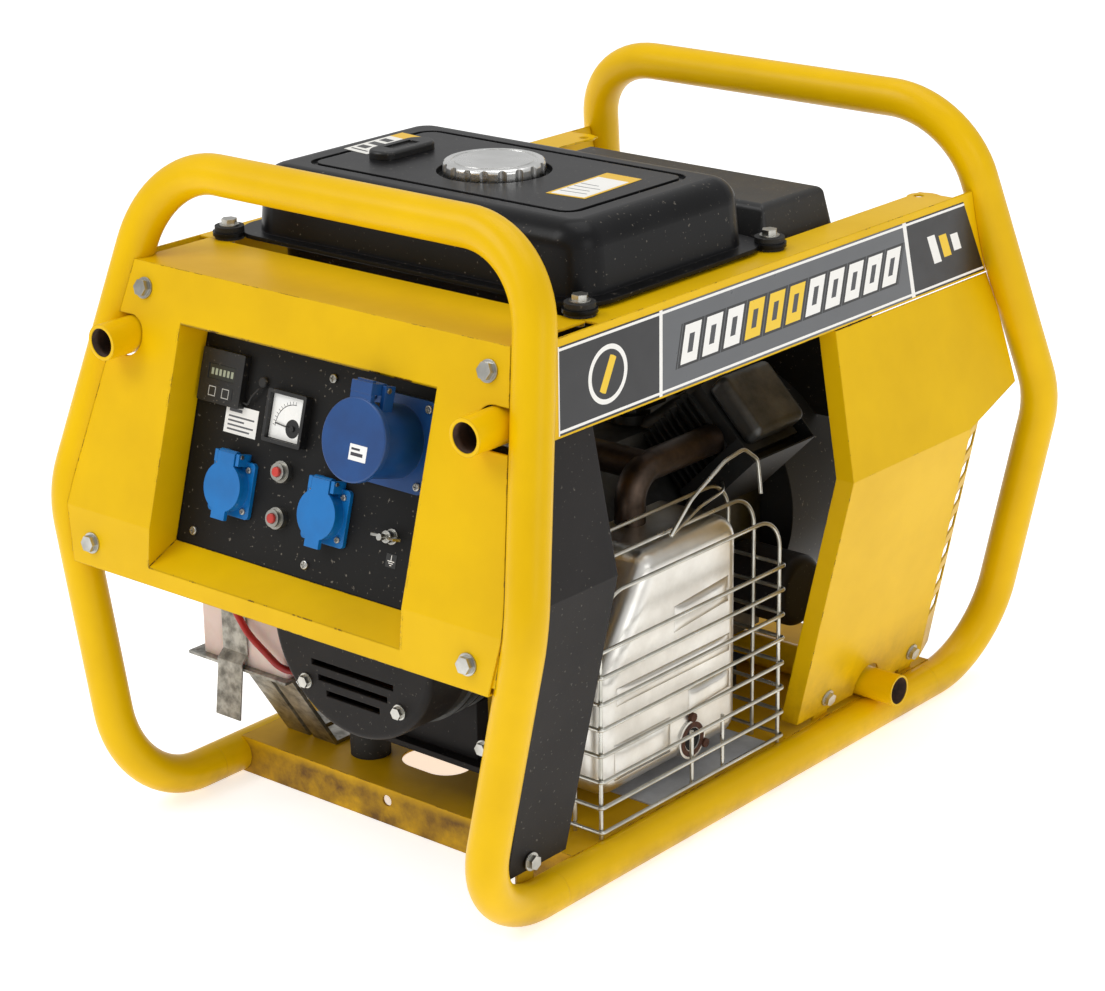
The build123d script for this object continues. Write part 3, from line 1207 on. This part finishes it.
def air_screen():
    """Guard of rings and spokes over the air inlet."""
    y0 = BLOWER_Y + BLOWER_LEN
    screen = turned(BLOWER_HOLE_R + 8.0, BLOWER_HOLE_R - 1.0, y0, y0 + 3.0)
    for radius in (20.0, 36.0, 52.0, 68.0):
        screen += turned(radius + 2.0, radius - 2.0, y0, y0 + 3.0)
    for index in range(6):
        spoke = box((18.0, BLOWER_HOLE_R), (y0, y0 + 3.0), (CRANK_Z - 2, CRANK_Z + 2))
        screen += Pos(0, 0, CRANK_Z) * Rot(0, 60 * index, 0) * Pos(0, 0, -CRANK_Z) * spoke
    return screen


def starter_motor():
    """Electric starter with its solenoid, on the left of the crankcase."""
    x, z = -CASE_X - 34.0, 150.0
    motor = rod(31.0, (x, ENGINE_FRONT_Y + 40, z), (x, ENGINE_REAR_Y - 20, z))
    motor = fillet(motor.edges(), 5.0)
    motor += rod(13.0, (x - 8, ENGINE_FRONT_Y + 60, z + 43), (x - 8, ENGINE_REAR_Y - 60, z + 43))
    motor += box((x - 14, x - 2), (ENGINE_FRONT_Y + 70, ENGINE_REAR_Y - 70), (z + 24, z + 34))
    motor += box((x + 20, -CASE_X), (ENGINE_FRONT_Y + 70, ENGINE_REAR_Y - 50), (z - 12, z + 12))
    return motor


def oil_filter():
    """Spin-on canister on the right of the crankcase."""
    y, z = ENGINE_REAR_Y - 38.0, 158.0
    can = rod(37.0, (CASE_X + 6, y, z), (CASE_X + 82, y, z))
    can = fillet(can.edges().group_by(Axis.X)[-1], 9.0)
    return can + rod(26.0, (CASE_X, y, z), (CASE_X + 7, y, z))


CARB_HALF = 26.0
CARB_Y = (CYL_Y["left"] + CYL_Y["right"]) / 2
CARB_Z = 360.0
HOSE_STUB_Y = CARB_Y + 10.0
HOSE_STUB_Z = CARB_Z + 22.0


def carburettor():
    """Body with a float bowl, a throat upwards, a hose stub and spindle bores."""
    body = box((-CARB_HALF, CARB_HALF), (CARB_Y - 24, CARB_Y + 24), (CARB_Z - 22, CARB_Z + 30))
    body += Pos(0, CARB_Y, CARB_Z - 26) * Cylinder(13, 10)
    body += rod(4.0, (-CARB_HALF - 10, HOSE_STUB_Y, HOSE_STUB_Z), (-CARB_HALF, HOSE_STUB_Y, HOSE_STUB_Z))
    body += Pos(0, CARB_Y, CARB_Z + 34) * Cylinder(27, 8)
    body -= Pos(0, CARB_Y, CARB_Z + 20) * Cylinder(17, 60)
    body -= rod(2.5, (-CARB_HALF - 1, CARB_Y - 14, CARB_Z + 16), (-CARB_HALF + 8, CARB_Y - 14, CARB_Z + 16))
    return body


def choke_lever():
    """Lever and spindle on the carburettor's left side."""
    y, z = CARB_Y - 14, CARB_Z + 16
    lever = rod(2.5 - RUN_GAP, (-CARB_HALF - 5, y, z), (-CARB_HALF + 7, y, z))
    lever += rod(6.0, (-CARB_HALF - 6, y, z), (-CARB_HALF - 1, y, z))
    return lever + box((-CARB_HALF - 5, -CARB_HALF - 2), (y - 38, y), (z - 3.5, z + 3.5))


def inlet_manifold():
    """Two runners that rise from the crankcase top, under the carburettor, to the heads."""
    pipes = Pos(0, CARB_Y, CARB_Z - 36) * Cylinder(20, 10)
    for side in CYL_Y:
        sign = 1 if side == "right" else -1
        port = (sign * 92.0, CYL_Y[side], CRANK_Z + 148.0)
        pipes += rod(14.0, (0, CARB_Y, CARB_Z - 64), port)
    length = CYL_END + HEAD_LEN - CYL_START
    for side in CYL_Y:
        block = Box(2 * CYL_HALF + 1, 2 * CYL_HALF + 1, length)
        pipes -= on_cylinder(side, 0, 0, CYL_START + length / 2) * block
    pipes -= box((-CARB_HALF, CARB_HALF), (CARB_Y - 30, CARB_Y + 30), (CARB_Z - 31, CARB_Z + 20))
    return pipes - crankcase_block(0.0)


CLEANER_X = (-120.0, 196.0)
CLEANER_Y = (TANK_FRONT_Y + TANK_LEN + 29.0, TANK_FRONT_Y + TANK_LEN + 155.0)
CLEANER_Z = (500.0, 574.0)


def inlet_elbow():
    """Rubber trunk from the carburettor up to the air-cleaner base."""
    low = (0, CARB_Y, CARB_Z + 38)
    top = (0, CARB_Y + 18, CLEANER_Z[0])
    trunk = loft([Pos(*low) * Circle(26), Pos(*top) * Circle(30)])
    low_mouth = Pos(low[0], low[1], low[2] - 0.5) * Circle(20)
    top_mouth = Pos(top[0], top[1], top[2] + 0.5) * Circle(24)
    return trunk - loft([low_mouth, top_mouth])


def cleaner_base():
    """Tray of the air cleaner with its outlet hole."""
    tray = box(CLEANER_X, CLEANER_Y, (CLEANER_Z[0], CLEANER_Z[0] + 16))
    tray = fillet(tray.edges().filter_by(Axis.Z), 16.0)
    well = box((CLEANER_X[0] + 4, CLEANER_X[1] - 4), (CLEANER_Y[0] + 4, CLEANER_Y[1] - 4),
               (CLEANER_Z[0] + 3, CLEANER_Z[0] + 20))
    tray -= fillet(well.edges().filter_by(Axis.Z), 12.0)
    return tray - Pos(0, CARB_Y + 18, CLEANER_Z[0]) * Cylinder(24, 20)


def cleaner_element():
    """Pleated panel element, as its outer block with the middle open."""
    block = box((CLEANER_X[0] + 20, CLEANER_X[1] - 20), (CLEANER_Y[0] + 20, CLEANER_Y[1] - 20),
                (CLEANER_Z[0] + 3, CLEANER_Z[0] + 50))
    return block - box((CLEANER_X[0] + 44, CLEANER_X[1] - 44), (CLEANER_Y[0] + 38, CLEANER_Y[1] - 38),
                       (CLEANER_Z[0], CLEANER_Z[0] + 60))


def cleaner_cover():
    """Moulded cover with sloping shoulders and two clip recesses."""
    low, top = CLEANER_Z[0] + 16, CLEANER_Z[1]
    width, depth = CLEANER_X[1] - CLEANER_X[0], CLEANER_Y[1] - CLEANER_Y[0]
    mid = Pos((CLEANER_X[0] + CLEANER_X[1]) / 2, (CLEANER_Y[0] + CLEANER_Y[1]) / 2, low)
    cover = extrude(RectangleRounded(width, depth, 16), top - low, taper=14)
    cover = fillet(cover.edges().group_by(Axis.Z)[-1], 8)
    cover -= extrude(RectangleRounded(width - 8, depth - 8, 12), top - low - 4, taper=14)
    for side in (-1, 1):
        cover -= Pos(side * width * 0.3, -depth / 2, 34) * Box(26, 26, 60)
        cover += Pos(side * width * 0.3, -depth / 2 + 14.5, 21) * Box(30, 3, 42)
    return mid * cover


# ---- exhaust ---------------------------------------------------------------------------------------
PIPE_R = 15.0
PIPE_Z = CRANK_Z + 115.0
PIPE_X = SIL_X[0] + 15.5
PIPE_DROP_Y = -70.0
CROSS_Y = ENGINE_FRONT_Y - 18.0


def exhaust_pipe_right():
    """Pipe from the right head forwards and down into the silencer."""
    start = (PIPE_X, CYL_Y["right"] - CYL_HALF, PIPE_Z)
    path = [start, (PIPE_X, PIPE_DROP_Y, PIPE_Z), (PIPE_X, PIPE_DROP_Y, SIL_Z[1])]
    return bent_rod(path, [30.0], PIPE_R)


def exhaust_pipe_left():
    """Pipe from the left head across to the right pipe."""
    start = (-PIPE_X, CYL_Y["left"] - CYL_HALF, PIPE_Z)
    path = [start, (-PIPE_X, CROSS_Y, PIPE_Z), (PIPE_X, CROSS_Y, PIPE_Z)]
    return bent_rod(path, [26.0], PIPE_R) - exhaust_pipe_right()


def silencer():
    """Pressed box with round edges, a cut front corner, a flat seam and an outlet."""
    outline = [
        (SIL_Y[0], SIL_Z[0]),
        (SIL_Y[1], SIL_Z[0]),
        (SIL_Y[1], SIL_Z[1]),
        (SIL_Y[0] + 72, SIL_Z[1]),
        (SIL_Y[0], SIL_Z[1] - 108),
    ]
    body = side_prism(outline, *SIL_X)
    body = fillet(body.edges().filter_by(Axis.X), 22.0)
    body = fillet(body.faces().sort_by(Axis.X)[-1].edges(), 20.0)
    outlet_at = (SIL_X[1], SIL_Y[0] + 134, SIL_Z[0] + 20)
    body += rod(20.0, (SIL_X[1] - 12, *outlet_at[1:]), (SIL_X[1] + 2, *outlet_at[1:]))
    body -= rod(11.5, (SIL_X[1] - 60, *outlet_at[1:]), (SIL_X[1] + 5, *outlet_at[1:]))
    hollow_y = (SIL_Y[0] + 130, SIL_Y[1] - 30)
    return body - box((SIL_X[0] + 3, SIL_X[1] - 30), hollow_y, (120, 250))


def silencer_guard():
    """Wire cage: three hoops over the top, level wires welded round their outside, two short wires."""
    r = GUARD_WIRE / 2
    wires = []
    for x, top in ((GUARD_X, SIL_Z[1] - 8), (GUARD_X - 31, SIL_Z[1] + 8), (GUARD_X - 62, SIL_Z[1] + 16)):
        path = [(x, GUARD_Y[1], BASE_Z), (x, GUARD_Y[1], top), (x, GUARD_Y[0], top), (x, GUARD_Y[0], BASE_Z)]
        wires.append(bent_rod(path, [34.0, 34.0], r))
    side_x = GUARD_X + GUARD_WIRE
    rear_y = GUARD_Y[1] + GUARD_WIRE
    front_y = GUARD_Y[0] - GUARD_WIRE
    for up in (8.0, 33.0, 59.0, 85.0, 111.0, 136.0, 162.0, 187.0):
        z = BASE_Z + up
        path = [(GUARD_X - 64, rear_y, z), (side_x, rear_y, z), (side_x, front_y, z), (GUARD_X - 64, front_y, z)]
        wires.append(bent_rod(path, [GUARD_WIRE, GUARD_WIRE], r))
    for y in (SIL_Y[0] + 112, SIL_Y[0] + 160):
        wires.append(rod(r, (GUARD_X, y, BASE_Z + 6), (GUARD_X, y, BASE_Z + 61)))
    return wires


def drip_plate():
    """Bright plate on the base under the silencer."""
    plate = box((SIL_X[0] + 24, RAIL_X - 12), (SIL_Y[0] + 60, GUARD_Y[1] - 8), (BASE_Z, BASE_Z + 1.5))
    return plate


# ---- battery --------------------------------------------------------------------------------------------
TRAY_T = 3.0


def battery():
    """Light case with a lid step and two terminal posts."""
    case = box(BATT_X, BATT_Y, BATT_Z)
    case = fillet(case.edges().filter_by(Axis.Z), 5.0)
    rim_y = (BATT_Y[0] - 1.0, BATT_Y[1] + 1.5)
    case += box((BATT_X[0] - 1.5, BATT_X[1] + 1.5), rim_y, (BATT_Z[1] - 24, BATT_Z[1] - 14))
    for x in (BATT_X[0] + 14, BATT_X[1] - 14):
        case += box((x - 8, x + 8), (BATT_Y[0] + 10, BATT_Y[0] + 26), (BATT_Z[1], BATT_Z[1] + 9))
    return case


def battery_tray():
    """Tray under the battery with two sloping arms welded to feet on the base plate."""
    low = BATT_Z[0] - TRAY_T
    tray = box((BATT_X[0] - 12, BATT_X[1] + 4), (BATT_Y[0] - 8, BATT_Y[1] + 4), (low, BATT_Z[0]))
    arm = [
        (BATT_Y[0] + 12, low),
        (BASE_FRONT_Y + 42, BASE_Z),
        (BASE_FRONT_Y + 84, BASE_Z),
    ]
    for x in (BATT_X[0] + 36, BATT_X[1] - 44):
        tray += side_prism(strip(arm[::-1], -4.0)[::-1], x, x + 30)
    return tray


def battery_strap():
    """Steel strap up the front, over the top and down the back, with its end bent below the tray."""
    gap = 1.2
    outline = [
        (BATT_Y[0] - gap - 14, BATT_Z[0] - 52),
        (BATT_Y[0] - gap - 8.2, BATT_Z[0] - 4),
        (BATT_Y[0] - gap - 8.2, BATT_Z[0] + 4),
        (BATT_Y[0] - gap, BATT_Z[0] + 12),
        (BATT_Y[0] - gap, BATT_Z[1] + 0.2),
        (BATT_Y[1] + 2.0, BATT_Z[1] + 0.2),
        (BATT_Y[1] + 2.0, BATT_Z[0]),
    ]
    return side_prism(strip(outline, 1.6), *STRAP_X)


def battery_lead():
    """Red lead from the left post, over the edge and down across the front to the engine bay."""
    x = BATT_X[0] + 14
    y = BATT_Y[0] - 9.5
    points = [
        (x, BATT_Y[0] + 9.8, BATT_Z[1] + 5),
        (x, y, BATT_Z[1] + 5),
        (x + 8, y, BATT_Z[1] - 40),
        (x + 62, y - 1, BATT_Z[0] + 40),
        (BATT_X[1] + 1, y, BATT_Z[0] + 14),
        (BATT_X[1] + 13, y + 30, BATT_Z[0] + 2),
        (BATT_X[1] + 13, BATT_Y[1] + 2, BATT_Z[0] - 5),
    ]
    return bent_rod(points, [8.0, 40.0, 60.0, 18.0, 30.0], 3.5)


# ---- write every node --------------------------------------------------------------------------
def write_frame():
    keep("front_hoop", hoop(-1))
    keep("rear_hoop", hoop(1))
    keep("base_rails", rail(-RAIL_X), rail(RAIL_X))
    socket = handle_socket()
    keep("frame_sockets", socket, mirrored(socket), axle_tube())
    keep("base_plate", base_plate())
    keep("cowl", *cowl())
    keep("frame_tabs", *cowl_tabs(), *cover_brackets(), shield_bracket())
    band = side_band()
    keep("side_bands", band, mirrored(band))
    cover = rear_cover()
    keep("rear_covers", cover, mirrored(cover))
    keep("heat_shield", heat_shield())
    sheet_bolts = cowl_bolts() + cover_bolts() + shield_bolts()
    keep("bolts", *sheet_bolts, *tank_bolts(), *end_bolts(), *mount_bolts())


def write_panel():
    keep("control_panel", control_panel())
    pins = [outlet_pin(*place) for place in OUTLETS.values()] + [cee_pin()]
    keep("panel_fixings", *panel_screws(), *outlet_screws(), *cee_screws(), *pins, earth_stud())
    keep("outlets", *[outlet(*place) for place in OUTLETS.values()])
    for name, place in OUTLETS.items():
        keep(f"outlet_lid_{name}", outlet_lid(*place))
    keep("industrial_outlet", cee_outlet())
    keep("industrial_lid", cee_lid())
    keep("breakers", *breaker_bodies())
    for name, place in BREAKERS.items():
        keep(f"breaker_button_{name}", breaker_button(*place))
    keep("meter_case", meter_case())
    keep("meter_needle", meter_needle())
    keep("hour_meter", hour_meter())
    keep("wing_nut", wing_nut())
    keep("sensor_lead", sensor_lead(), sensor_boss())


def write_tank():
    keep("fuel_tank", fuel_tank())
    keep("fuel_cap", fuel_cap())
    keep("level_gauge", level_gauge())
    keep("fuel_tap", fuel_tap())
    keep("tap_lever", tap_lever())
    keep("fuel_hose", fuel_hose())


def write_alternator():
    keep("alternator_end_cover", end_cover(), end_bearing())
    keep("alternator_body", alternator_body())
    keep("stator", stator())
    keep("rotor", rotor(), alternator_fan())
    keep("adapter_housing", adapter())
    keep("mount_feet", alternator_foot(), engine_foot())
    keep("rubber_mounts", *rubber_mounts(), *tank_grommets())


def write_engine():
    keep("crankcase", crankcase())
    keep("cylinders", *[cylinder(side) for side in CYL_Y], *[head(side) for side in CYL_Y])
    keep("rocker_covers", *[rocker_cover(side) for side in CYL_Y])
    keep("crankshaft", crankshaft())
    keep("flywheel", flywheel())
    keep("blower_housing", blower_housing(), air_screen())
    keep("cylinder_shrouds", *[cylinder_shroud(side) for side in CYL_Y])
    keep("starter_motor", starter_motor())
    keep("oil_filter", oil_filter())
    keep("carburettor", carburettor())
    keep("choke_lever", choke_lever())
    keep("inlet_pipes", inlet_manifold(), inlet_elbow())
    keep("air_cleaner_base", cleaner_base(), cleaner_element())
    keep("air_cleaner_cover", cleaner_cover())


def write_exhaust_and_battery():
    keep("exhaust_pipes", exhaust_pipe_right(), exhaust_pipe_left())
    keep("silencer", silencer())
    keep("silencer_guard", *silencer_guard())
    keep("drip_plate", drip_plate())
    keep("battery", battery())
    keep("battery_carrier", battery_tray(), battery_strap())
    keep("battery_lead", battery_lead())


write_frame()
write_panel()
write_tank()
write_alternator()
write_engine()
write_exhaust_and_battery()
